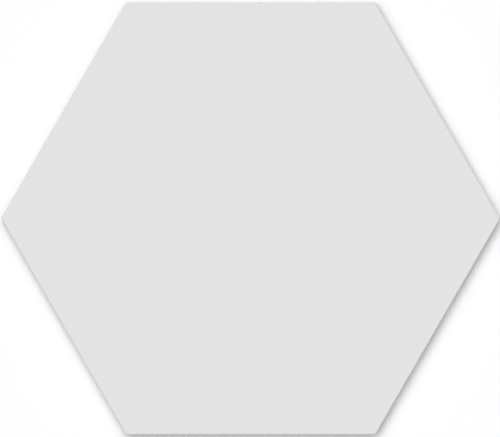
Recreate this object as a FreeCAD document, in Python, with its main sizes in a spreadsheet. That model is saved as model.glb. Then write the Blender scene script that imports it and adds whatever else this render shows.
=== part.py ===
import FreeCAD, Part

# Hexagon floor tile, pressed from dry porcelain powder and fired as one solid piece.
#
# The face is a plain regular hexagon that points along X, so two of its straight sides lie across Y. The
# side wall stands square for a band below the face, where the grout joint is filled, and then leans in
# towards the back, as the press die leaves it. The back is keyed for the adhesive with a honeycomb of
# shallow blind cells. The ribs between the cells and the flush border round them lie in one plane, on which
# the tile rests.
#
# The origin is at the centre of the back, on that plane, and +Z points out of the face. Sizes are in
# millimetres.

import math
import os

import Sketcher

# Driving sizes: the name, the value, and what it measures. Angles are degrees.
SIZES = (
    ("across_flats", 200.0, "width of the face between two opposite straight sides"),
    ("tile_thickness", 9.0, "from the rib tops on the back to the face"),
    ("back_corner_radius", 0.3, "rounding of the six corners round the back, where it is least"),
    ("face_arris", 0.6, "radius of the pressed edge round the face"),
    ("back_arris", 0.5, "chamfer round the back edge"),
    ("lean_height", 5.0, "height of the lower part of the side wall, which leans in"),
    ("lean_angle", 8.0, "how far that part of the wall leans in from square"),
    ("border_width", 8.0, "least width of the flush border round the honeycomb"),
    ("cell_pitch", 22.5, "from the centre of one cell to the centre of the next"),
    ("rib_width", 4.0, "width of a rib between two cells, at the back plane"),
    ("cell_corner_radius", 3.3, "rounding of a cell's corners at its floor, where it is least"),
    ("cell_depth", 1.0, "depth of a cell below the back plane"),
    ("cell_draft", 30.0, "slope of a cell's walls, so that the punch lets go"),
)

SIDES = 6
TURN = 360.0 / SIDES
# Directions of the outward normals of a hexagon's first side: a face side across Y, a cell side across X.
FACE_FIRST_SIDE = 90.0
CELL_FIRST_SIDE = 0.0
# The honeycomb is its centre cell and three equal sectors. A sector's cells step out along X and then along
# a second direction, and the sectors stand a third of a turn apart.
SECOND_STEP = 120.0
SECTORS = 3
FULL_TURN = 360.0

# How far the side wall leans in, and a cell's wall. What slopes out opens up the rounding of its corners.
WALL_LEAN = "Sizes.lean_height * tan(Sizes.lean_angle)"
CELL_WALL_LEAN = "Sizes.cell_depth * tan(Sizes.cell_draft)"
FACE_CORNER_RADIUS = f"Sizes.back_corner_radius + Sizes.back_arris + {WALL_LEAN}"
CELL_MOUTH_RADIUS = f"Sizes.cell_corner_radius + {CELL_WALL_LEAN}"

# A cell stands corner first to the tile's sides, so its reach towards them is its half width over cos(30).
ROOM_FOR_CELLS = f"Sizes.across_flats / 2 - {WALL_LEAN} - Sizes.back_arris - Sizes.border_width"
CELL_HALF_WIDTH = "(Sizes.cell_pitch - Sizes.rib_width) / 2"
RING_STEP = "(Sizes.cell_pitch * cos(30))"
RINGS = f"floor(({ROOM_FOR_CELLS} - {CELL_HALF_WIDTH} / cos(30)) / {RING_STEP})"

# How a sketch numbers the points of an element, and its own X axis and origin.
START, END, CENTRE = range(1, 4)
X_AXIS = -1
ORIGIN = (X_AXIS, START)

UPRIGHT = FreeCAD.Vector(0, 0, 1)
LEVEL_TOLERANCE = 1e-6


def direction(angle):
    """The unit vector in the sketch plane at an angle in degrees from X."""
    return FreeCAD.Vector(math.cos(math.radians(angle)), math.sin(math.radians(angle)), 0)


def make_sheet(doc):
    """The spreadsheet of driving sizes, one row each: what it measures, and its value under its alias."""
    sheet = doc.addObject("Spreadsheet::Sheet", "Sizes")
    for row, (alias, value, meaning) in enumerate(SIZES, start=1):
        sheet.set(f"A{row}", meaning)
        sheet.set(f"B{row}", str(value))
        sheet.setAlias(f"B{row}", alias)
    doc.recompute()
    return sheet


def lean_in(height, angle):
    """How far a wall of that height comes in when it leans by an angle in degrees."""
    return height * math.tan(math.radians(angle))


def make_sketch(body, name, height=None):
    """A sketch on the body's XY plane, lifted by the expression in height if there is one."""
    sketch = body.newObject("Sketcher::SketchObject", name)
    plane = next(part for part in body.Origin.OriginFeatures if part.Role == "XY_Plane")
    sketch.AttachmentSupport = (plane, [""])
    sketch.MapMode = "FlatFace"
    if height:
        sketch.setExpression("AttachmentOffset.Base.z", height)
    return sketch


def bind(sketch, constraint, name, expression):
    """Adds a dimension to a sketch under a name, and ties it to an expression of the driving sizes."""
    index = sketch.addConstraint(constraint)
    sketch.renameConstraint(index, name)
    sketch.setExpression(f"Constraints.{name}", expression)


def draw_hexagon(sketch, centre, half_width, radius, first_side):
    """Draws a regular hexagon with rounded corners round an inscribed construction circle.

    half_width and radius are pairs of a present value and the expression that drives it, and first_side is
    the direction of one side's outward normal. Returns the inscribed circle's number in the sketch.
    """
    to_side, to_side_rule = half_width
    rounding, rounding_rule = radius
    circle = sketch.addGeometry(Part.Circle(centre, UPRIGHT, to_side), True)
    bind(sketch, Sketcher.Constraint("Radius", circle, to_side), "half_width", to_side_rule)

    half_side = (to_side - rounding) * math.tan(math.radians(TURN / 2))
    to_arc_centre = (to_side - rounding) / math.cos(math.radians(TURN / 2))
    lines = []
    arcs = []
    for side in range(SIDES):
        normal = first_side + side * TURN
        middle = centre + direction(normal) * to_side
        along = direction(normal + 90.0) * half_side
        line = sketch.addGeometry(Part.LineSegment(middle - along, middle + along))
        sketch.addConstraint(Sketcher.Constraint("Tangent", line, circle))
        sketch.addConstraint(Sketcher.Constraint("Angle", line, math.radians(normal + 90.0)))
        lines.append(line)

        arc_centre = centre + direction(normal + TURN / 2) * to_arc_centre
        corner = Part.Circle(arc_centre, UPRIGHT, rounding)
        arc = Part.ArcOfCircle(corner, math.radians(normal), math.radians(normal + TURN))
        arcs.append(sketch.addGeometry(arc))
    for side in range(SIDES):
        next_line = lines[(side + 1) % SIDES]
        sketch.addConstraint(Sketcher.Constraint("Tangent", lines[side], END, arcs[side], START))
        sketch.addConstraint(Sketcher.Constraint("Tangent", arcs[side], END, next_line, START))
    bind(sketch, Sketcher.Constraint("Radius", arcs[0], rounding), "corner_radius", rounding_rule)
    for arc in arcs[1:]:
        sketch.addConstraint(Sketcher.Constraint("Equal", arcs[0], arc))
    return circle


def draw_face(body, sheet):
    """The plan of the face, at the height where the square part of the side wall begins."""
    sketch = make_sketch(body, "FaceOutline", "Sizes.lean_height")
    middle = FreeCAD.Vector(0, 0, 0)
    half_width = (sheet.across_flats / 2, "Sizes.across_flats / 2")
    wall_lean = lean_in(sheet.lean_height, sheet.lean_angle)
    radius = (sheet.back_corner_radius + sheet.back_arris + wall_lean, FACE_CORNER_RADIUS)
    circle = draw_hexagon(sketch, middle, half_width, radius, FACE_FIRST_SIDE)
    sketch.addConstraint(Sketcher.Constraint("Coincident", circle, CENTRE, *ORIGIN))
    return sketch


def draw_cell(body, sheet, name, centre_x):
    """One cell of the honeycomb in the back plane, centred on X. Returns its sketch and inscribed circle."""
    sketch = make_sketch(body, name)
    middle = FreeCAD.Vector(centre_x, 0, 0)
    half_width = ((sheet.cell_pitch - sheet.rib_width) / 2, CELL_HALF_WIDTH)
    wall_lean = lean_in(sheet.cell_depth, sheet.cell_draft)
    radius = (sheet.cell_corner_radius + wall_lean, CELL_MOUTH_RADIUS)
    circle = draw_hexagon(sketch, middle, half_width, radius, CELL_FIRST_SIDE)
    return sketch, circle


def draw_centre_cell(body, sheet):
    """The cell in the middle of the back."""
    sketch, circle = draw_cell(body, sheet, "CentreCellOutline", 0.0)
    sketch.addConstraint(Sketcher.Constraint("Coincident", circle, CENTRE, *ORIGIN))
    return sketch


def draw_ring_cell(body, sheet):
    """The first cell out from the middle, and a construction line from it along the second step."""
    pitch = sheet.cell_pitch
    sketch, circle = draw_cell(body, sheet, "RingCellOutline", pitch)
    sketch.addConstraint(Sketcher.Constraint("PointOnObject", circle, CENTRE, X_AXIS))
    first_step = Sketcher.Constraint("DistanceX", *ORIGIN, circle, CENTRE, pitch)
    bind(sketch, first_step, "first_step", "Sizes.cell_pitch")

    middle = FreeCAD.Vector(pitch, 0, 0)
    line = sketch.addGeometry(Part.LineSegment(middle, middle + direction(SECOND_STEP) * pitch), True)
    sketch.addConstraint(Sketcher.Constraint("Coincident", line, START, circle, CENTRE))
    sketch.addConstraint(Sketcher.Constraint("Angle", line, math.radians(SECOND_STEP)))
    bind(sketch, Sketcher.Constraint("Distance", line, pitch), "second_step", "Sizes.cell_pitch")
    return sketch


def add_walls(body, outline):
    """The tile's blank: a square band up to the face, and the leaning wall down to the back."""
    band = body.newObject("PartDesign::Pad", "SquareBand")
    band.Profile = outline
    band.setExpression("Length", "Sizes.tile_thickness - Sizes.lean_height")
    body.Document.recompute()
    lean = body.newObject("PartDesign::Pad", "LeaningWall")
    lean.Profile = outline
    lean.Reversed = True
    lean.setExpression("Length", "Sizes.lean_height")
    lean.setExpression("TaperAngle", "-Sizes.lean_angle")
    body.Document.recompute()
    return lean


def level_face(shape, height):
    """The name of the level face at a height, such as Face3."""
    for number, face in enumerate(shape.Faces, start=1):
        box = face.BoundBox
        if box.ZLength < LEVEL_TOLERANCE and abs(box.ZMin - height) < LEVEL_TOLERANCE:
            return f"Face{number}"
    raise RuntimeError(f"there is no level face at {height} mm")


def add_arrises(body, sheet, blank):
    """The rounded edge round the face and the chamfer round the back."""
    face_edge = body.newObject("PartDesign::Fillet", "FaceArris")
    face_edge.Base = (blank, [level_face(blank.Shape, sheet.tile_thickness)])
    face_edge.setExpression("Radius", "Sizes.face_arris")
    body.Document.recompute()
    back_edge = body.newObject("PartDesign::Chamfer", "BackArris")
    back_edge.Base = (face_edge, [level_face(face_edge.Shape, 0.0)])
    back_edge.setExpression("Size", "Sizes.back_arris")
    body.Document.recompute()


def sink_cell(body, sketch, name):
    """Sinks one cell into the back, with its walls drawn in towards its floor."""
    cell = body.newObject("PartDesign::Pocket", name)
    cell.Profile = sketch
    cell.Reversed = True
    cell.setExpression("Length", "Sizes.cell_depth")
    cell.setExpression("TaperAngle", "-Sizes.cell_draft")
    body.Document.recompute()
    return cell


def add_row(body, name, along, count):
    """One step direction of a sector: as many copies as the expression in count, a cell pitch apart."""
    row = body.newObject("PartDesign::LinearPattern", name)
    row.Direction = along
    row.Mode = "Spacing"
    row.setExpression("Offset", "Sizes.cell_pitch")
    row.setExpression("Occurrences", count)
    return row


def add_honeycomb(body, sheet):
    """The keyed back: the cell at the centre, and rings of cells out to the border."""
    sink_cell(body, draw_centre_cell(body, sheet), "CentreCell")
    outline = draw_ring_cell(body, sheet)
    ring_cell = sink_cell(body, outline, "RingCell")

    honeycomb = body.newObject("PartDesign::MultiTransform", "Honeycomb")
    honeycomb.Originals = [ring_cell]
    outward = add_row(body, "OutwardRow", (outline, ["H_Axis"]), RINGS)
    sideways = add_row(body, "SidewaysRow", (outline, ["Axis0"]), f"{RINGS} + 1")
    sectors = body.newObject("PartDesign::PolarPattern", "Sectors")
    sectors.Axis = (outline, ["N_Axis"])
    sectors.Angle = FULL_TURN
    sectors.Occurrences = SECTORS
    honeycomb.Transformations = [outward, sideways, sectors]
    body.Tip = honeycomb
    body.Document.recompute()


def make_tile(doc, sheet):
    """The whole tile, one body."""
    body = doc.addObject("PartDesign::Body", "Tile")
    body.Label = "hexagon_tile"
    blank = add_walls(body, draw_face(body, sheet))
    add_arrises(body, sheet, blank)
    add_honeycomb(body, sheet)
    return body


def check(doc, body):
    """Stops the build if any object failed, or the tile isn't one valid solid."""
    failed = [item.Label for item in doc.Objects if {"Invalid", "Error"} & set(item.State)]
    if failed:
        raise RuntimeError(f"these objects failed: {failed}")
    if body.Shape.isNull() or not body.Shape.isValid() or len(body.Shape.Solids) != 1:
        raise RuntimeError(f"{body.Label} isn't one valid solid")


document = FreeCAD.newDocument("HexagonTile")
sizes = make_sheet(document)
tile = make_tile(document, sizes)
check(document, tile)
os.makedirs("parts", exist_ok=True)
tile.Shape.exportStep(f"parts/{tile.Label}.step")
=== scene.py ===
"""A hexagon floor tile in matt glazed porcelain, dressed and lit for a studio picture.

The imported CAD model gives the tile's place and its outer sizes. The tile is one pressed and fired
piece, so what shows is one closed mesh: a flat glazed face with a pressed arris, a square joint
band on which the glaze ends in a thin lip, a lower wall that leans in, and a keyed back with a
honeycomb of blind cells. Shapes are in metres, in the frame of the CAD model, and the patterns of
the finish are in millimetres.
"""

import logging
import math
import random
from collections.abc import Iterable, Sequence
from dataclasses import dataclass, field
from enum import Enum
from typing import Any

import bmesh
import bpy
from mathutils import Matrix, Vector


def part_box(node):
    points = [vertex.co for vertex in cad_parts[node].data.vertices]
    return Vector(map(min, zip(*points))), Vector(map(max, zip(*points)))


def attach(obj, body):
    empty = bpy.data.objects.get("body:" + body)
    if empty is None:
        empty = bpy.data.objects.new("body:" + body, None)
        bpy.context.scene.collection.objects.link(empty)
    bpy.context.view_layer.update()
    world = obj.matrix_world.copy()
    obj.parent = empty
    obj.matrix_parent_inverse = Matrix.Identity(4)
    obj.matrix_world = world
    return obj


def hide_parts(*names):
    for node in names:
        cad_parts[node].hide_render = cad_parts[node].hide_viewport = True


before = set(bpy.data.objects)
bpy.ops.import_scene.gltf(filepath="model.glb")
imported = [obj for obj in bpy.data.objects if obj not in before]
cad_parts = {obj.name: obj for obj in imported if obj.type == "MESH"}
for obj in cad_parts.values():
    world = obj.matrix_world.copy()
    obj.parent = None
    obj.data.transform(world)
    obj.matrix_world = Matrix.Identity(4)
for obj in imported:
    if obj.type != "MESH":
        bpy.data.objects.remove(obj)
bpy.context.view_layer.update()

LOG = logging.getLogger("hexagon_tile")
CAD_NODE = "hexagon_tile"
CAD_BODY = "root"
FINISH_SLOT = "matt_glazed_porcelain"
MM = 0.001
JOIN_DISTANCE = 0.002 * MM
SIDES = 6
TURN = math.radians(360 / SIDES)
GLAZE_ATTRIBUTE = "height_over_glaze_lip"
PLAN_MAP = "OFBake"

Point = tuple[float, float]
Span = tuple[float, float]
Factors = tuple[float, float, float]
Colour = tuple[float, float, float, float]
Ring = list[bmesh.types.BMVert]
Settings = dict[str, Any]
Sockets = dict[str | int, Any]


class SidePlan(Enum):
    """Which way a hexagon's sides face: the angle of its first outward normal, in degrees."""

    TILE = 30.0
    CELL = 0.0


@dataclass(frozen=True)
class HexagonOutline:
    """The outline of a rounded hexagon, which can be offset without losing the order of its points.

    Attributes:
        plan: which way the sides face.
        corner_steps: straight pieces in the arc of a corner, an even number.
        side_steps: straight pieces along a side between two arcs.
    """

    plan: SidePlan
    corner_steps: int
    side_steps: int

    def points(self, half_width: float, radius: float, centre: Point = (0.0, 0.0)) -> list[Point]:
        """Places the points of the outline, anticlockwise, from the start of the first side.

        Args:
            half_width: distance from the centre to each side.
            radius: radius of the corners.
            centre: place of the centre.

        Returns:
            The points. The arc of each corner follows the side before it.
        """
        half_side = (half_width - radius) * math.tan(TURN / 2)
        found: list[Point] = []
        for side in range(SIDES):
            facing = self.facing(side)
            for step in range(self.side_steps):
                along = half_side * (2 * step / self.side_steps - 1)
                found.append(self._place(centre, facing, half_width, along))
            for step in range(self.corner_steps):
                turn = TURN * step / self.corner_steps
                out = half_width - radius + radius * math.cos(turn)
                found.append(self._place(centre, facing, out, half_side + radius * math.sin(turn)))
        return found

    def sharp_points(self, half_width: float, inner_half_side: float, centre: Point) -> list[Point]:
        """Places the same number of points on a sharp hexagon, mirrored about the middle of each side.

        Args:
            half_width: distance from the centre to each side.
            inner_half_side: half of the stretch that answers to the straight side of the ring within.
            centre: place of the centre.

        Returns:
            The points, in the order of points().
        """
        corner = half_width * math.tan(TURN / 2)
        half_arc = self.corner_steps // 2
        found: list[Point] = []
        for side in range(SIDES):
            facing = self.facing(side)
            for step in range(self.side_steps):
                along = inner_half_side * (2 * step / self.side_steps - 1)
                found.append(self._place(centre, facing, half_width, along))
            for step in range(half_arc):
                along = inner_half_side + (corner - inner_half_side) * step / half_arc
                found.append(self._place(centre, facing, half_width, along))
            for step in range(half_arc):
                along = corner - (corner - inner_half_side) * step / half_arc
                found.append(self._place(centre, facing + TURN, half_width, -along))
        return found

    def facing(self, side: int) -> float:
        """Gives the angle of a side's outward normal, in radians."""
        return math.radians(self.plan.value) + TURN * side

    @staticmethod
    def _place(centre: Point, facing: float, out: float, along: float) -> Point:
        """Turns a place beside a side, out from the centre and along the side, into X and Y."""
        cos, sin = math.cos(facing), math.sin(facing)
        return centre[0] + out * cos - along * sin, centre[1] + out * sin + along * cos


def round_the_corner(before: Point, corner: Point, after: Point, radius: float, steps: int) -> list[Point]:
    """Replaces the corner of a profile by an arc.

    Args:
        before: a point of the profile before the corner.
        corner: the sharp corner.
        after: a point of the profile after the corner.
        radius: radius of the arc.
        steps: straight pieces in the arc.

    Returns:
        The points of the arc, from where it leaves the first line to where it meets the second.
    """
    middle = Vector(corner)
    back = (Vector(before) - middle).normalized()
    on = (Vector(after) - middle).normalized()
    half = back.angle(on) / 2
    reach = radius / math.tan(half)
    hub = middle + (back + on).normalized() * (radius / math.sin(half))
    first = middle + back * reach - hub
    last = middle + on * reach - hub
    turn = first.angle_signed(last)
    arc = [hub + rotated(first, -turn * step / steps) for step in range(steps + 1)]
    return [(point.x, point.y) for point in arc]


def rotated(arm: Vector, angle: float) -> Vector:
    """Turns a flat vector anticlockwise by an angle in radians."""
    cos, sin = math.cos(angle), math.sin(angle)
    return Vector((arm.x * cos - arm.y * sin, arm.x * sin + arm.y * cos))


@dataclass(frozen=True)
class FlatPlan:
    """The tile's surface laid out in a unit square, so that its finish can be kept as one picture.

    The face lies at the foot of the square and the back over it. The six sides of the wall stand
    beside them as strips, drawn larger because there is room.

    Attributes:
        outline: the outline of the tile.
        apothem: half of the distance across the flats.
        wall: length of the wall's profile that a strip has room for.
        gap: clear space between two parts.
    """

    outline: HexagonOutline
    apothem: float
    wall: float = 10.0 * MM
    gap: float = 2.0 * MM

    @property
    def _square(self) -> float:
        """Gives the length of tile that a side of the square stands for."""
        return 4 * self.apothem + 3 * self.gap

    @property
    def _reach(self) -> float:
        """Gives the distance from the centre of the tile to a sharp corner."""
        return self.apothem / math.cos(TURN / 2)

    def level(self, x: float, y: float, back: bool) -> Point:
        """Gives the place on the plan of a point of the face or of the back.

        Args:
            x: place of the point along X.
            y: place of the point along Y.
            back: whether it lies on the back.

        Returns:
            The place on the plan.
        """
        centre = self.gap + self.apothem
        if back:
            centre += self.gap + 2 * self.apothem
        return (x + self.gap + self._reach) / self._square, (y + centre) / self._square

    def strip(self, side: int, x: float, y: float, down: float) -> Point:
        """Gives the place on the plan of a point on one side of the wall.

        Args:
            side: number of the side.
            x: place of the point along X.
            y: place of the point along Y.
            down: how far down the wall it is, measured over the arris.

        Returns:
            The place on the plan.
        """
        facing = self.outline.facing(side)
        along = y * math.cos(facing) - x * math.sin(facing)
        left = 2 * (self._reach + self.gap)
        width = (self._square - left) / SIDES
        scale = (width - self.gap) / self.wall
        return (left + width * side + down * scale) / self._square, 0.5 + along * scale / self._square


class MeshWork:
    """Builds one mesh out of rings of points, each joined to the next by a band of quads."""

    def __init__(self, plan: FlatPlan) -> None:
        """Starts an empty mesh, with the glaze attribute on its points and a map for the flat plan.

        Args:
            plan: the flat plan.
        """
        self.bm = bmesh.new()
        self.plan = plan
        self.glaze = self.bm.verts.layers.float.new(GLAZE_ATTRIBUTE)
        self.flat = self.bm.loops.layers.uv.new(PLAN_MAP)

    def ring(self, points: Iterable[Point], heights: float | Sequence[float], lip: Sequence[float]) -> Ring:
        """Adds a ring of points.

        Args:
            points: X and Y of each point.
            heights: height of the ring, or of each of its points.
            lip: height of the glaze lip beside each point.

        Returns:
            The ring.
        """
        made: Ring = []
        for number, (x, y) in enumerate(points):
            height = heights if isinstance(heights, float) else heights[number]
            vert = self.bm.verts.new((x, y, height))
            vert[self.glaze] = (height - lip[number]) / MM
            made.append(vert)
        return made

    def band(self, first: Ring, second: Ring, down: Span | None = None) -> None:
        """Joins two rings with quads that face out when the second ring is further down or in.

        Args:
            first: the first ring.
            second: the second ring.
            down: for a band of the wall, how far down the wall the two rings are.
        """
        for number, start in enumerate(first):
            follow = (number + 1) % len(first)
            quad = self.bm.faces.new((start, second[number], second[follow], first[follow]))
            if down is None:
                self.lay_level(quad)
            else:
                self._lay_on_strip(quad, (down[0], down[1], down[1], down[0]))

    def cap(self, ring: Ring) -> None:
        """Closes a ring with one flat face."""
        self.lay_level(self.bm.faces.new(ring))

    def lay_level(self, patch: bmesh.types.BMFace) -> None:
        """Lays a patch of the face or of the back on the flat plan.

        Args:
            patch: the patch.
        """
        back = patch.calc_center_median().z < self.plan.wall / 2
        for corner in patch.loops:
            x, y, _ = corner.vert.co
            corner[self.flat].uv = self.plan.level(x, y, back)

    def _lay_on_strip(self, quad: bmesh.types.BMFace, down: Sequence[float]) -> None:
        """Lays a quad of the wall on its side's strip of the flat plan.

        Args:
            quad: the quad.
            down: how far down the wall each of its corners is.
        """
        middle = quad.calc_center_median()
        turn = math.atan2(middle.y, middle.x) - self.plan.outline.facing(0)
        side = round(turn / TURN) % SIDES
        for corner, depth in zip(quad.loops, down):
            x, y, _ = corner.vert.co
            corner[self.flat].uv = self.plan.strip(side, x, y, depth)

    def join_doubles(self) -> None:
        """Joins the points that coincide."""
        bmesh.ops.remove_doubles(self.bm, verts=self.bm.verts, dist=JOIN_DISTANCE)

    def finish(self, name: str) -> bpy.types.Object:
        """Joins the points that coincide, turns the faces out and makes the object.

        Args:
            name: name of the object.

        Returns:
            The object, linked to the scene.
        """
        self.join_doubles()
        bmesh.ops.recalc_face_normals(self.bm, faces=self.bm.faces)
        for patch in self.bm.faces:
            patch.smooth = True
        mesh = bpy.data.meshes.new(name)
        self.bm.to_mesh(mesh)
        self.bm.free()
        piece = bpy.data.objects.new(name, mesh)
        bpy.context.scene.collection.objects.link(piece)
        return piece


@dataclass(frozen=True)
class GlazeLip:
    """The edge of the sprayed glaze on the joint band, a shallow wave round the tile.

    Attributes:
        height: mean height of the lip over the back.
        wander: how far it wanders up and down.
        film: thickness of the glaze at the lip.
        waves: number of waves that are added up.
        rates: least and most turns of a wave round the tile.
        strengths: least and most strength of a wave.
        seed: seed of the waves.
        profile: the lip's bead from the glazed wall above it to the bare wall below, as how far it
            lies in and how far it lies down, in thicknesses of the glaze.
    """

    height: float = 7.55 * MM
    wander: float = 0.16 * MM
    film: float = 0.06 * MM
    waves: int = 9
    rates: tuple[int, int] = (3, 46)
    strengths: Span = (0.4, 1.0)
    seed: int = 11
    profile: Sequence[Point] = ((0.0, -2.6), (0.0, -1.0), (0.3, -0.3), (0.8, 0.0), (1.0, 0.4), (1.0, 2.6))

    def heights(self, count: int) -> list[float]:
        """Works out the height of the lip at evenly numbered points round the tile.

        Args:
            count: number of points.

        Returns:
            The height at each point.
        """
        draw = random.Random(self.seed)
        waves = [
            (draw.randint(*self.rates), draw.uniform(0, math.tau), draw.uniform(*self.strengths))
            for _ in range(self.waves)
        ]
        scale = self.wander / math.sqrt(self.waves / 2)
        found: list[float] = []
        for number in range(count):
            turn = math.tau * number / count
            rise = sum(strength * math.sin(rate * turn + start) for rate, start, strength in waves)
            found.append(self.height + scale * rise)
        return found


@dataclass
class TileShell:
    """The glazed face and the side wall, down to the rim of the back.

    Attributes:
        apothem: half of the distance across the flats.
        thickness: height of the face over the back.
        corner_radius: radius of the six corners on the joint band, where the tile is widest.
        least_corner: least radius of a corner on the rings that lie further in.
        arris: radius of the pressed edge of the face.
        lean_height: height of the part of the wall that leans in.
        lean_angle: how far it leans, in degrees.
        back_arris: width and height of the bevel round the back.
        softness: radius that the press leaves where two parts of the wall meet.
        lean_softness: radius where the wall begins to lean.
        lip: the edge of the glaze.
        outline: the outline of the tile.
        face_rings: rings of points that divide the face, as shares of the way from its edge in.
        edge_rings: rings of points beside the edge of the face, in radii of the arris from it.
        arris_steps: straight pieces in the arc of the arris.
        wall_steps: straight pieces in each arc of the wall.
    """

    apothem: float
    thickness: float
    corner_radius: float = 1.503 * MM
    least_corner: float = 0.3 * MM
    arris: float = 0.6 * MM
    lean_height: float = 5.0 * MM
    lean_angle: float = 8.0
    back_arris: float = 0.5 * MM
    softness: float = 0.25 * MM
    lean_softness: float = 2.0 * MM
    lip: GlazeLip = field(default_factory=GlazeLip)
    outline: HexagonOutline = HexagonOutline(SidePlan.TILE, corner_steps=8, side_steps=38)
    face_rings: Sequence[float] = (0.95, 0.86, 0.7, 0.5, 0.3, 0.12)
    edge_rings: Sequence[float] = (2.0, 0.5)
    arris_steps: int = 8
    wall_steps: int = 3

    @property
    def rim_inset(self) -> float:
        """Gives how far the rim of the back lies inside the joint band."""
        return self.lean_height * math.tan(math.radians(self.lean_angle)) + self.back_arris

    def points(self, inset: float) -> list[Point]:
        """Places a ring of the outline that lies so far inside the widest one."""
        return self.outline.points(self.apothem - inset, max(self.corner_radius - inset, self.least_corner))

    def build(self, work: MeshWork) -> Ring:
        """Builds the face and the wall.

        Args:
            work: the mesh that they go into.

        Returns:
            The ring at the rim of the back.
        """
        lip = self.lip.heights(len(self.points(0.0)))
        face = self._face(work, lip)
        wall = self._wall(work, lip)
        for first, second in zip(face, [*face[1:], wall[0][0]]):
            work.band(first, second)
        down = 0.0
        for (first, place), (second, next_place) in zip(wall, wall[1:]):
            further = down + math.dist(place, next_place)
            work.band(first, second, (down, further))
            down = further
        return wall[-1][0]

    def _face(self, work: MeshWork, lip: Sequence[float]) -> list[Ring]:
        """Adds the rings of the flat face and closes the innermost one.

        Args:
            work: the mesh that they go into.
            lip: height of the glaze lip beside each point.

        Returns:
            The rings, from the middle out.
        """
        insets = [self.arris + (self.apothem - self.arris) * share for share in self.face_rings]
        insets += [self.arris + self.arris * radii for radii in self.edge_rings]
        rings = [work.ring(self.points(inset), self.thickness, lip) for inset in insets]
        work.cap(rings[0])
        return rings

    def _wall(self, work: MeshWork, lip: Sequence[float]) -> list[tuple[Ring, Point]]:
        """Adds the rings of the arris, the glaze lip and the bare wall.

        Args:
            work: the mesh that they go into.
            lip: height of the glaze lip beside each point.

        Returns:
            The rings from the face down, each with its mean inset and height.
        """
        film = self.lip.film
        rings: list[tuple[Ring, Point]] = []
        for inset, height in self._arris_profile():
            rings.append((work.ring(self.points(inset), height, lip), (inset, height)))
        for layers_in, layers_down in self.lip.profile:
            inset = film * layers_in
            drop = film * layers_down
            ring = work.ring(self.points(inset), [height - drop for height in lip], lip)
            rings.append((ring, (inset, self.lip.height - drop)))
        for inset, height in self._bare_profile():
            rings.append((work.ring(self.points(inset), height, lip), (inset, height)))
        return rings

    def _arris_profile(self) -> list[Point]:
        """Works out the pressed edge of the face.

        Returns:
            Its insets and heights, from the face out and down.
        """
        inner = (self.arris * 2, self.thickness)
        corner = (0.0, self.thickness)
        foot = (0.0, self.lean_height)
        return round_the_corner(inner, corner, foot, self.arris, self.arris_steps)

    def _bare_profile(self) -> list[Point]:
        """Works out the bare wall.

        Returns:
            Its insets and heights, from under the glaze lip to the rim of the back.
        """
        lean = math.tan(math.radians(self.lean_angle))
        above = (self.lip.film, self.thickness)
        band_foot = (self.lip.film, self.lean_height)
        bevel_top = (self.lip.film + (self.lean_height - self.back_arris) * lean, self.back_arris)
        rim = (self.rim_inset, 0.0)
        inner = (self.rim_inset * 2, 0.0)
        return [
            *round_the_corner(above, band_foot, bevel_top, self.lean_softness, self.wall_steps),
            *round_the_corner(band_foot, bevel_top, rim, self.softness, self.wall_steps),
            *round_the_corner(bevel_top, rim, inner, self.softness, self.wall_steps),
        ]


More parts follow.
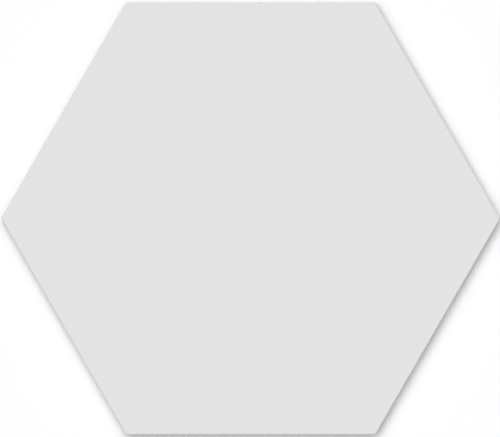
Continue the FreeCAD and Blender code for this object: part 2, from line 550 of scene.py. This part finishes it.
@dataclass
class KeyedBack:
    """The back: a flat border round a honeycomb of blind cells that the bedding keys into.

    Attributes:
        pitch: distance between the centres of neighbouring cells.
        rib: width of the ribs between the cells.
        depth: depth of the cells.
        draft: how far the walls of the cells lean, in degrees.
        floor_corner: radius of the corners of a cell's floor.
        rim_radius: softness of the edge of the ribs.
        root_radius: softness where a wall meets the floor.
        rings: rings of cells round the centre one.
        border_ring: how far inside the rim the ring of points lies that divides the border.
        rib_ring: how far outside a cell's mouth the ring of points lies that divides the rib.
        outline: the outline of a cell.
        floor_rings: rings of points that divide the floor, as shares of its width.
        arc_steps: straight pieces in each arc of a cell's wall.
    """

    pitch: float = 22.5 * MM
    rib: float = 4.0 * MM
    depth: float = 1.0 * MM
    draft: float = 30.0
    floor_corner: float = 3.3 * MM
    rim_radius: float = 0.35 * MM
    root_radius: float = 0.5 * MM
    rings: int = 4
    border_ring: float = 2.5 * MM
    rib_ring: float = 0.8 * MM
    outline: HexagonOutline = HexagonOutline(SidePlan.CELL, corner_steps=6, side_steps=2)
    floor_rings: Sequence[float] = (0.75, 0.4)
    arc_steps: int = 4

    @property
    def half_width(self) -> float:
        """Gives half of a cell's width at its mouth."""
        return (self.pitch - self.rib) / 2

    @property
    def lean(self) -> float:
        """Gives how far a cell's wall leans in from the mouth to the floor."""
        return self.depth * math.tan(math.radians(self.draft))

    def centres(self) -> list[Point]:
        """Places the centres of the cells on a triangular grid that fills a hexagon.

        Returns:
            The centres.
        """
        found: list[Point] = []
        for column in range(-self.rings, self.rings + 1):
            for row in range(-self.rings, self.rings + 1):
                if abs(column - row) <= self.rings:
                    found.append((self.pitch * (column - row / 2), self.pitch * row * math.cos(TURN / 2)))
        return found

    def build(self, work: MeshWork, shell: TileShell, rim: Ring) -> None:
        """Builds the cells and the border.

        Args:
            work: the mesh that they go into.
            shell: the shell, whose outline the border follows.
            rim: the ring at the rim of the back.
        """
        points = shell.points(shell.rim_inset + self.border_ring)
        work.band(rim, work.ring(points, 0.0, [shell.lip.height] * len(points)))
        for centre in self.centres():
            self._cell(work, centre, shell.lip.height)
        work.join_doubles()
        loose = [edge for edge in work.bm.edges if edge.is_boundary]
        border = bmesh.ops.triangle_fill(work.bm, edges=loose, use_beauty=True, normal=(0.0, 0.0, -1.0))
        for patch in border["geom"]:
            if isinstance(patch, bmesh.types.BMFace):
                work.lay_level(patch)

    def _cell(self, work: MeshWork, centre: Point, lip_height: float) -> None:
        """Builds one cell, out to the middle of the ribs round it.

        Args:
            work: the mesh that it goes into.
            centre: place of its centre.
            lip_height: mean height of the glaze lip.
        """
        mouth_radius = self.floor_corner + self.lean
        half_side = (self.half_width - mouth_radius) * math.tan(TURN / 2)
        edge = self.outline.sharp_points(self.pitch / 2, half_side, centre)
        lip = [lip_height] * len(edge)
        wall = self._wall_profile()
        foot = wall[-1][0]
        rings = [work.ring(edge, 0.0, lip)]
        for inset, height in [(-self.rib_ring, 0.0), *wall, (foot + self.root_radius / 2, self.depth)]:
            points = self.outline.points(self.half_width - inset, mouth_radius - inset, centre)
            rings.append(work.ring(points, height, lip))
        for share in self.floor_rings:
            half_width = (self.half_width - foot) * share
            points = self.outline.points(half_width, self.floor_corner * share, centre)
            rings.append(work.ring(points, self.depth, lip))
        for first, second in zip(rings, rings[1:]):
            work.band(first, second)
        work.cap(rings[-1])

    def _wall_profile(self) -> list[Point]:
        """Works out a cell's wall.

        Returns:
            Its insets from the mouth and its heights, from the rib to the floor.
        """
        top = (-self.rib / 2, 0.0)
        mouth = (0.0, 0.0)
        root = (self.lean, self.depth)
        middle = (self.half_width, self.depth)
        return [
            *round_the_corner(top, mouth, root, self.rim_radius, self.arc_steps),
            *round_the_corner(mouth, root, middle, self.root_radius, self.arc_steps),
        ]


class Value:
    """A socket of a node tree, on which shader maths is written as an expression."""

    def __init__(self, sheet: "NodeSheet", socket: bpy.types.NodeSocket) -> None:
        """Wraps a socket of that sheet."""
        self.sheet = sheet
        self.socket = socket

    def _math(self, operation: str, *numbers: "Value | float") -> "Value":
        """Adds a Math node on these numbers and gives its result."""
        made = self.sheet.node("ShaderNodeMath", {"operation": operation}, dict(enumerate(numbers)))
        return made["Value"]

    def __add__(self, other: "Value | float") -> "Value":
        """Adds a number or another value."""
        return self._math("ADD", self, other)

    def __sub__(self, other: "Value | float") -> "Value":
        """Takes a number or another value away."""
        return self._math("SUBTRACT", self, other)

    def __rsub__(self, other: float) -> "Value":
        """Takes this value away from a number."""
        return self._math("SUBTRACT", other, self)

    def __mul__(self, other: "Value | float") -> "Value":
        """Multiplies by a number or another value."""
        return self._math("MULTIPLY", self, other)

    __radd__ = __add__
    __rmul__ = __mul__

    def ramp(self, low: float, high: float) -> "Value":
        """Rises smoothly from 0 at low to 1 at high, or falls if low is the higher number."""
        ends = {"Value": self, "From Min": low, "From Max": high}
        return self.sheet.node("ShaderNodeMapRange", {"interpolation_type": "SMOOTHSTEP"}, ends)["Result"]

    def largest(self, other: "Value | float") -> "Value":
        """Gives the larger of two values."""
        return self._math("MAXIMUM", self, other)


class Outputs:
    """The output sockets of a node, found by name and given as values."""

    def __init__(self, sheet: "NodeSheet", made: bpy.types.Node) -> None:
        """Wraps a node of that sheet."""
        self.sheet = sheet
        self.made = made

    def __getitem__(self, name: str) -> Value:
        """Gives the output of that name or identifier."""
        return Value(self.sheet, find_socket(self.made.outputs, name))


def find_socket(sockets: Any, key: str | int) -> bpy.types.NodeSocket:
    """Finds a socket by its number, its identifier or its name.

    Args:
        sockets: the inputs or the outputs of a node.
        key: the number, identifier or name.

    Returns:
        The socket.
    """
    if isinstance(key, int):
        return sockets[key]
    for socket in sockets:
        if socket.identifier == key:
            return socket
    return sockets[key]


@dataclass(frozen=True)
class Grain:
    """A pattern of noise on the tile.

    Attributes:
        scale: waves for each millimetre.
        detail: octaves over the broadest wave.
        roughness: strength of each octave against the one before.
        amount: what it counts for as a relief, in millimetres, or as a sway of a level.
        stretch: factors on X, Y and Z before the noise, where it isn't alike every way.
    """

    scale: float
    detail: float = 2.0
    roughness: float = 0.5
    amount: float = 1.0
    stretch: Factors | None = None


class NodeSheet:
    """The node tree of a material or of the world, emptied, with one method that makes any node."""

    def __init__(self, owner: bpy.types.Material | bpy.types.World) -> None:
        """Turns nodes on and clears what the tree holds.

        Args:
            owner: the material or the world.
        """
        owner.use_nodes = True
        self.tree = owner.node_tree
        self.tree.nodes.clear()

    def node(self, kind: str, settings: Settings | None = None, sockets: Sockets | None = None) -> Outputs:
        """Makes a node.

        Args:
            kind: the node's type.
            settings: its own settings, set first, with "stops" for the stops of a colour ramp.
            sockets: a value, or the value to link, for each input by number, identifier or name.

        Returns:
            The node's outputs.
        """
        made = self.tree.nodes.new(kind)
        for name, setting in (settings or {}).items():
            if name == "stops":
                self._set_stops(made.color_ramp, setting)
            else:
                setattr(made, name, setting)
        for key, given in (sockets or {}).items():
            socket = find_socket(made.inputs, key)
            if isinstance(given, Value):
                self.tree.links.new(given.socket, socket)
            else:
                socket.default_value = given
        return Outputs(self, made)

    @staticmethod
    def _set_stops(ramp: bpy.types.ColorRamp, stops: Sequence[tuple[float, Colour]]) -> None:
        """Gives a colour ramp its stops.

        Args:
            ramp: the colour ramp.
            stops: the place and the colour of each stop.
        """
        while len(ramp.elements) < len(stops):
            ramp.elements.new(1.0)
        for element, (place, colour) in zip(ramp.elements, stops):
            element.position = place
            element.color = colour

    def noise(self, point: Value, grain: Grain) -> Value:
        """Gives the noise of a grain.

        Args:
            point: the place on the tile, in millimetres.
            grain: the grain.

        Returns:
            The noise, from 0 to 1.
        """
        sockets = {"Scale": grain.scale, "Detail": grain.detail, "Roughness": grain.roughness}
        sockets["Vector"] = point if grain.stretch is None else self.stretch(point, grain.stretch)
        return self.node("ShaderNodeTexNoise", {"noise_dimensions": "3D"}, sockets)["Fac"]

    def stretch(self, point: Value, factors: Factors) -> Value:
        """Multiplies a point by a factor along each axis."""
        made = self.node("ShaderNodeVectorMath", {"operation": "MULTIPLY"}, {0: point, 1: factors})
        return made["Vector"]

    def blend(self, share: Value | float, first: Value | Colour, second: Value | Colour) -> Value:
        """Mixes two colours, from the first at a share of 0 to the second at 1."""
        sockets = {"Factor_Float": share, "A_Color": first, "B_Color": second}
        return self.node("ShaderNodeMix", {"data_type": "RGBA"}, sockets)["Result_Color"]


def grey(level: float, warmth: float = 0.0) -> Colour:
    """Makes a grey of that linear level, with red raised and blue lowered by a share of it."""
    return level * (1 + warmth), level, level * (1 - warmth), 1.0


@dataclass(frozen=True)
class TilePlace:
    """Where a point of the tile lies, as values for its finish, in millimetres.

    Attributes:
        sheet: the sheet that the values are on.
        point: the place on the tile.
        height: height over the back.
        over_lip: height over the glaze lip.
        below_face: depth below the face.
    """

    sheet: NodeSheet
    point: Value
    height: Value
    over_lip: Value
    below_face: Value

    @classmethod
    def on(cls, sheet: NodeSheet, thickness: float) -> "TilePlace":
        """Adds the nodes that tell where a point lies.

        Args:
            sheet: the sheet that they go on.
            thickness: thickness of the tile, in millimetres.

        Returns:
            The place.
        """
        point = sheet.stretch(sheet.node("ShaderNodeTexCoord")["Object"], (1 / MM, 1 / MM, 1 / MM))
        height = sheet.node("ShaderNodeSeparateXYZ", None, {0: point})["Z"]
        over_lip = sheet.node("ShaderNodeAttribute", {"attribute_name": GLAZE_ATTRIBUTE})["Fac"]
        return cls(sheet, point, height, over_lip, thickness - height)

    def noise(self, grain: Grain) -> Value:
        """Gives the noise of a grain, from 0 to 1."""
        return self.sheet.noise(self.point, grain)

    def relief(self, grain: Grain) -> Value:
        """Gives the noise of a grain, from 0 to its amount."""
        return self.noise(grain) * grain.amount

    def sway(self, grain: Grain) -> Value:
        """Gives the noise of a grain, from half its amount below 0 to half above."""
        return (self.noise(grain) - 0.5) * grain.amount


@dataclass(frozen=True)
class Patches:
    """Patches of a tone or of a coat, which a noise spreads over the tile.

    Attributes:
        grain: the noise.
        edge: levels of the noise at which a patch begins and is whole.
        cover: how much a whole patch covers.
    """

    grain: Grain
    edge: Span
    cover: float = 1.0

    def on(self, place: TilePlace) -> Value:
        """Gives the cover of the patches."""
        return place.noise(self.grain).ramp(*self.edge) * self.cover


@dataclass(frozen=True)
class Specks:
    """Dark specks of iron in the pressed body, at most one in each cell of a grid.

    Attributes:
        density: cells for each millimetre. The sizes of a speck are in cells.
        spread: the most that chance takes off a speck's size; about half of the cells have none.
        edge: distances from the middle of the largest speck at which it begins and is whole.
        cover: how much a whole speck covers.
        tone: level of a speck, as a share of the body's.
        warmth: how warm a speck is.
    """

    density: float = 0.55
    spread: float = 0.35
    edge: Span = (0.16, 0.08)
    cover: float = 0.55
    tone: float = 0.5
    warmth: float = 0.12

    def on(self, place: TilePlace) -> Value:
        """Gives the cover of the specks.

        Args:
            place: the place on the tile.

        Returns:
            The cover.
        """
        sockets = {"Vector": place.point, "Scale": self.density}
        dots = place.sheet.node("ShaderNodeTexVoronoi", {"feature": "F1"}, sockets)
        shrink = place.sheet.node("ShaderNodeSeparateColor", None, {"Color": dots["Color"]})["Red"]
        return (dots["Distance"] + shrink * self.spread).ramp(*self.edge) * self.cover


@dataclass(frozen=True)
class MattGlaze:
    """The sprayed glaze: one even grey that frays out in a mist of spray, lighter where it thins towards
    the lip, with a painted highlight on the arris.

    Attributes:
        level: linear level of the grey.
        clouds: faint clouds in the grey.
        thin_glaze_and_arris_highlight_lift: how much lighter the thin glaze by the lip and the painted
            highlight on the arris are, as a factor.
        arris_highlight_top: depths below the face at which the painted highlight on the arris begins and is
            brightest.
        arris_highlight_foot: depths below the face at which the painted highlight is gone and at which it
            begins to fade.
        lip_fade: heights over the lip at which the glaze begins to thin and is thinnest.
        lip_share: how much of that lift the thin glaze at the lip gets, where 1 is as light as the painted
            highlight on the arris.
        fray: how the lip frays.
        lip_edge: heights over the frayed lip at which the cover begins and is whole.
        spray: the drops of spray below the lip.
        spray_rise: how much denser the drops are for each millimetre up.
        drop_edge: levels of the spray at which a drop begins and is whole.
        spray_fade: heights against the lip at which the spray begins and is dense.
        spray_cover: how much a drop covers.
        roughness: roughness of the glaze.
        sheen: clouds in the roughness.
        ripple: the broad ripple of the surface.
        tooth: its fine tooth.
    """

    level: float = 0.768
    clouds: Grain = Grain(0.03, detail=3.0, amount=0.002)
    thin_glaze_and_arris_highlight_lift: float = 1.03
    arris_highlight_top: Span = (0.02, 0.2)
    arris_highlight_foot: Span = (0.9, 0.55)
    lip_fade: Span = (0.9, 0.0)
    lip_share: float = 0.5
    fray: Grain = Grain(2.2, detail=3.0, amount=0.22)
    lip_edge: Span = (-0.05, 0.03)
    spray: Grain = Grain(2.9, detail=1.0)
    spray_rise: float = 0.055
    drop_edge: Span = (0.60, 0.68)
    spray_fade: Span = (-4.5, -0.5)
    spray_cover: float = 0.75
    roughness: float = 0.6
    sheen: Grain = Grain(0.12, detail=3.0, amount=0.05)
    ripple: Grain = Grain(0.22, amount=0.012)
    tooth: Grain = Grain(3.5, amount=0.0016)

    def cover(self, place: TilePlace) -> Value:
        """Gives the cover of glaze: whole down to the frayed lip, then a mist of spray that thins out.

        Args:
            place: the place on the tile.

        Returns:
            The cover.
        """
        whole = (place.over_lip + place.sway(self.fray)).ramp(*self.lip_edge)
        drops = (place.noise(self.spray) + place.over_lip * self.spray_rise).ramp(*self.drop_edge)
        mist = drops * place.over_lip.ramp(*self.spray_fade)
        return whole.largest(mist * self.spray_cover)

    def colour(self, place: TilePlace) -> Value:
        """Gives the even grey of the glaze, lighter where it thins towards the lip, with a painted
        highlight on the arris.

        Args:
            place: the place on the tile.

        Returns:
            The colour.
        """
        dark = grey(self.level * (1 - self.clouds.amount))
        pale = grey(self.level * (1 + self.clouds.amount))
        even = place.sheet.blend(place.noise(self.clouds), dark, pale)
        # Painted highlight: the arris is lightened to make up for the shade on its steep outer part; the
        # lightening towards the lip is the glaze thinning.
        painted_arris_highlight = place.below_face.ramp(*self.arris_highlight_top) * place.below_face.ramp(*self.arris_highlight_foot)
        by_lip = place.over_lip.ramp(*self.lip_fade) * self.lip_share
        return place.sheet.blend(painted_arris_highlight.largest(by_lip), even, grey(self.level * self.thin_glaze_and_arris_highlight_lift))

    def rough(self, place: TilePlace) -> Value:
        """Gives the roughness of the glaze."""
        return self.roughness + place.sway(self.sheen)

    def relief(self, place: TilePlace) -> Value:
        """Gives the relief of the glaze: a faint ripple under a fine tooth."""
        return place.relief(self.ripple) + place.relief(self.tooth)


@dataclass(frozen=True)
class PressedBody:
    """The bare fired body: pressed grains of four tones, with clumps, clouds, specks and draw marks.

    Attributes:
        level: linear level of the body.
        warmth: how warm it is against the neutral glaze.
        grains: the pressed grains.
        tones: the tones of the grains, each a level of their noise and a share of the body's level.
        clumps: darker clumps of grains.
        clump_tone: level of a clump, as a share of the body's.
        clouds: broad darker clouds.
        cloud_tone: level of a cloud, as a share of the body's.
        specks: dark specks.
        draws: fine marks up the wall, which the die leaves as the tile is pushed out of it.
        draws_edge: heights over the back at which the marks begin and are whole.
        roughness: roughness of the body.
        sheen: grain in the roughness.
    """

    level: float = 0.57
    warmth: float = 0.022
    grains: Grain = Grain(2.4, detail=4.0, roughness=0.7, amount=0.035)
    tones: Sequence[tuple[float, float]] = ((0.34, 0.88), (0.46, 0.98), (0.56, 1.02), (0.68, 1.11))
    clumps: Patches = Patches(Grain(0.32, detail=3.0, roughness=0.6), edge=(0.35, 0.65), cover=0.4)
    clump_tone: float = 0.93
    clouds: Patches = Patches(Grain(0.05), edge=(0.3, 0.8), cover=0.35)
    cloud_tone: float = 0.90
    specks: Specks = Specks()
    draws: Grain = Grain(1.0, detail=3.0, amount=0.02, stretch=(2.4, 2.4, 0.10))
    draws_edge: Span = (0.6, 1.4)
    roughness: float = 0.88
    sheen: Grain = Grain(3.0, amount=0.1)

    def _tone(self, share: float) -> Colour:
        """Gives a tone of the body, as a share of its level."""
        return grey(self.level * share, self.warmth)

    def colour(self, place: TilePlace) -> Value:
        """Gives the colour of the bare body.

        Args:
            place: the place on the tile.

        Returns:
            The colour.
        """
        sheet = place.sheet
        stops = [(level, self._tone(share)) for level, share in self.tones]
        grains = place.noise(self.grains)
        base = sheet.node("ShaderNodeValToRGB", {"stops": stops}, {"Fac": grains})["Color"]
        base = sheet.blend(self.clumps.on(place), base, self._tone(self.clump_tone))
        base = sheet.blend(self.clouds.on(place), base, self._tone(self.cloud_tone))
        dark = grey(self.level * self.specks.tone, self.specks.warmth)
        return sheet.blend(self.specks.on(place), base, dark)

    def rough(self, place: TilePlace) -> Value:
        """Gives the roughness of the body."""
        return self.roughness + place.sway(self.sheen)

    def relief(self, place: TilePlace) -> Value:
        """Gives the relief of the body: its grains, and the draw marks on the wall."""
        return place.relief(self.grains) + place.relief(self.draws) * place.height.ramp(*self.draws_edge)


@dataclass(frozen=True)
class KilnWash:
    """The pale wash that the kiln's rollers leave in bands on the ribs and the border.

    Attributes:
        level: linear level of the wash.
        warmth: how warm it is.
        bands: the bands, which lie along X.
        patches: the patches that a band breaks up into.
        rib_edge: heights over the back at which the wash begins and is whole.
        thickness: thickness of the wash.
    """

    level: float = 0.77
    warmth: float = 0.005
    bands: Patches = Patches(Grain(1.0, stretch=(0.012, 0.11, 0.0)), edge=(0.40, 0.64))
    patches: Patches = Patches(Grain(0.55, detail=5.0, roughness=0.65), edge=(0.40, 0.62), cover=0.7)
    rib_edge: Span = (0.12, 0.02)
    thickness: float = 0.03

    def cover(self, place: TilePlace) -> Value:
        """Gives the cover of the wash."""
        return place.height.ramp(*self.rib_edge) * self.bands.on(place) * self.patches.on(place)

    def colour(self) -> Colour:
        """Gives the colour of the wash."""
        return grey(self.level, self.warmth)


@dataclass(frozen=True)
class MattGlazedPorcelain:
    """The finish of the tile: matt glaze on the face, pressed body and kiln wash on the wall and back.

    Attributes:
        glaze: the glaze.
        body: the bare body.
        wash: the kiln wash on it.
        specular: strength of the reflection, less than a gloss surface has.
    """

    glaze: MattGlaze = MattGlaze()
    body: PressedBody = PressedBody()
    wash: KilnWash = KilnWash()
    specular: float = 0.36

    def make(self, thickness: float) -> bpy.types.Material:
        """Makes the material, named after the record's slot.

        Args:
            thickness: thickness of the tile, in metres.

        Returns:
            The material.
        """
        material = bpy.data.materials.new(FINISH_SLOT)
        sheet = NodeSheet(material)
        place = TilePlace.on(sheet, thickness / MM)
        glazed = self.glaze.cover(place)
        washed = self.wash.cover(place)

        bare_colour = sheet.blend(washed, self.body.colour(place), self.wash.colour())
        colour = sheet.blend(glazed, bare_colour, self.glaze.colour(place))
        bare_rough = self.body.rough(place)
        rough = bare_rough + (self.glaze.rough(place) - bare_rough) * glazed
        bare_relief = self.body.relief(place) + washed * self.wash.thickness
        relief = bare_relief * (1 - glazed) + self.glaze.relief(place) * glazed

        bump = sheet.node("ShaderNodeBump", None, {"Strength": 1.0, "Distance": MM, "Height": relief})
        sockets = {"Base Color": colour, "Roughness": rough, "Normal": bump["Normal"]}
        sockets["Specular IOR Level"] = self.specular
        shader = sheet.node("ShaderNodeBsdfPrincipled", None, sockets)["BSDF"]
        sheet.node("ShaderNodeOutputMaterial", None, {"Surface": shader})
        return material


@dataclass(frozen=True)
class PaleFloor:
    """The plain floor of the studio, as white to the camera as the backdrop, with the tile's shadow on it.

    Attributes:
        half_width: half of the floor's width.
        camera_level: linear level that the camera and reflections see.
        bounce_level: linear level that the floor has for the light that it throws back.
    """

    half_width: float = 7.0
    camera_level: float = 1.038
    bounce_level: float = 0.80

    def build(self) -> None:
        """Builds the floor under the tile."""
        bm = bmesh.new()
        bmesh.ops.create_grid(bm, x_segments=1, y_segments=1, size=self.half_width)
        mesh = bpy.data.meshes.new("studio_floor")
        bm.to_mesh(mesh)
        bm.free()
        floor = bpy.data.objects.new("studio_floor", mesh)
        bpy.context.scene.collection.objects.link(floor)
        floor.data.materials.append(self._material())

    def _material(self) -> bpy.types.Material:
        """Makes the white of the floor.

        Returns:
            The material.
        """
        material = bpy.data.materials.new("studio_white")
        sheet = NodeSheet(material)
        colour = sheet.blend(seen_directly(sheet), grey(self.bounce_level), grey(self.camera_level))
        shader = sheet.node("ShaderNodeBsdfDiffuse", None, {"Color": colour})["BSDF"]
        sheet.node("ShaderNodeOutputMaterial", None, {"Surface": shader})
        return material


def seen_directly(sheet: NodeSheet) -> Value:
    """Gives 1 for rays from the camera, a reflection or a see-through surface, and 0 for the rest."""
    rays = sheet.node("ShaderNodeLightPath")
    return rays["Is Camera Ray"].largest(rays["Is Glossy Ray"]).largest(rays["Is Transmission Ray"])


@dataclass(frozen=True)
class SoftLamp:
    """A large soft lamp, so far off that it lights the whole tile alike.

    Attributes:
        name: name of the lamp.
        share: light that it gives on a level surface, where 1 shows a colour as it is written.
        tilt: how far it stands off the vertical, in degrees.
        spread: how wide it looks from the tile, in degrees.
        side: the side that it stands on, in degrees from +X towards +Y.
    """

    name: str
    share: float
    tilt: float
    spread: float
    side: float = 120.0

    def build(self) -> None:
        """Builds the lamp."""
        lamp = bpy.data.lights.new(self.name, "SUN")
        lamp.angle = math.radians(self.spread)
        lamp.energy = math.pi * self.share / math.cos(math.radians(self.tilt))
        holder = bpy.data.objects.new(self.name, lamp)
        holder.rotation_euler = (0.0, math.radians(self.tilt), math.radians(self.side))
        bpy.context.scene.collection.objects.link(holder)


@dataclass(frozen=True)
class StudioLight:
    """Two soft lamps nearly overhead, and the even light that the studio's walls throw back.

    Attributes:
        key: the lamp that draws the shadow.
        top: the wide lamp that softens it all round.
        fill: light that the studio gives on a level surface.
    """

    key: SoftLamp = SoftLamp("key_lamp", share=0.455, tilt=12.5, spread=36.5)
    top: SoftLamp = SoftLamp("top_lamp", share=0.40, tilt=6.0, spread=92.0)
    fill: float = 0.10

    def build(self) -> None:
        """Builds the lamps and the world, which is white where it is seen directly."""
        self.key.build()
        self.top.build()
        world = bpy.data.worlds.new("studio")
        bpy.context.scene.world = world
        sheet = NodeSheet(world)
        strength = self.fill + seen_directly(sheet) * (1 - self.fill)
        light = sheet.node("ShaderNodeBackground", None, {"Color": grey(1.0), "Strength": strength})
        sheet.node("ShaderNodeOutputWorld", None, {"Surface": light["Background"]})


@dataclass(frozen=True)
class PictureCamera:
    """A flat camera that looks straight down, with the tile where the photograph shows it.

    Attributes:
        picture: width and height of the picture in pixels.
        centre: where the middle of the tile falls, in pixels from the top left corner.
        apothem: half of the distance across the flats, in pixels.
        height: height of the camera over the floor.
    """

    picture: Point = (500.0, 437.0)
    centre: Point = (250.8, 218.7)
    apothem: float = 215.95
    height: float = 1.2

    def build(self, shell: TileShell) -> None:
        """Builds the camera over a tile of that size.

        Args:
            shell: the shell of the tile.
        """
        metres_a_pixel = shell.apothem / self.apothem
        camera = bpy.data.cameras.new("picture_camera")
        camera.type = "ORTHO"
        camera.ortho_scale = self.picture[0] * metres_a_pixel
        holder = bpy.data.objects.new("picture_camera", camera)
        x = (self.picture[0] / 2 - self.centre[0]) * metres_a_pixel
        y = (self.centre[1] - self.picture[1] / 2) * metres_a_pixel
        holder.location = (x, y, self.height)
        bpy.context.scene.collection.objects.link(holder)
        bpy.context.scene.camera = holder


@dataclass
class FloorTile:
    """The whole tile, one pressed piece in place of the CAD node.

    Attributes:
        shell: the face and the wall.
        back: the keyed back.
        finish: the finish.
        name: name of the piece.
    """

    shell: TileShell
    back: KeyedBack = field(default_factory=KeyedBack)
    finish: MattGlazedPorcelain = MattGlazedPorcelain()
    name: str = "pressed_tile"

    @classmethod
    def from_frame(cls) -> "FloorTile":
        """Takes the tile's outer sizes from the CAD node.

        Returns:
            The tile, not yet built.
        """
        _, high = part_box(CAD_NODE)
        return cls(TileShell(apothem=high.y, thickness=high.z))

    def build(self) -> bpy.types.Object:
        """Builds and dresses the tile.

        Returns:
            The piece, riding on its body.
        """
        work = MeshWork(FlatPlan(self.shell.outline, self.shell.apothem))
        rim = self.shell.build(work)
        self.back.build(work, self.shell, rim)
        piece = work.finish(self.name)
        piece.modifiers.new("flat_faces_stay_flat", "WEIGHTED_NORMAL")
        piece.data.materials.append(self.finish.make(self.shell.thickness))
        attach(piece, CAD_BODY)
        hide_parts(CAD_NODE)
        return piece


def main() -> None:
    """Builds the tile and its studio."""
    logging.basicConfig(level=logging.INFO, format="%(name)s: %(message)s")
    tile = FloorTile.from_frame()
    PictureCamera().build(tile.shell)
    StudioLight().build()
    PaleFloor().build()
    piece = tile.build()
    LOG.info("%s: %d points, %d faces", piece.name, len(piece.data.vertices), len(piece.data.polygons))
    bpy.context.scene.view_settings.view_transform = "Standard"


if __name__ == "__main__":
    main()
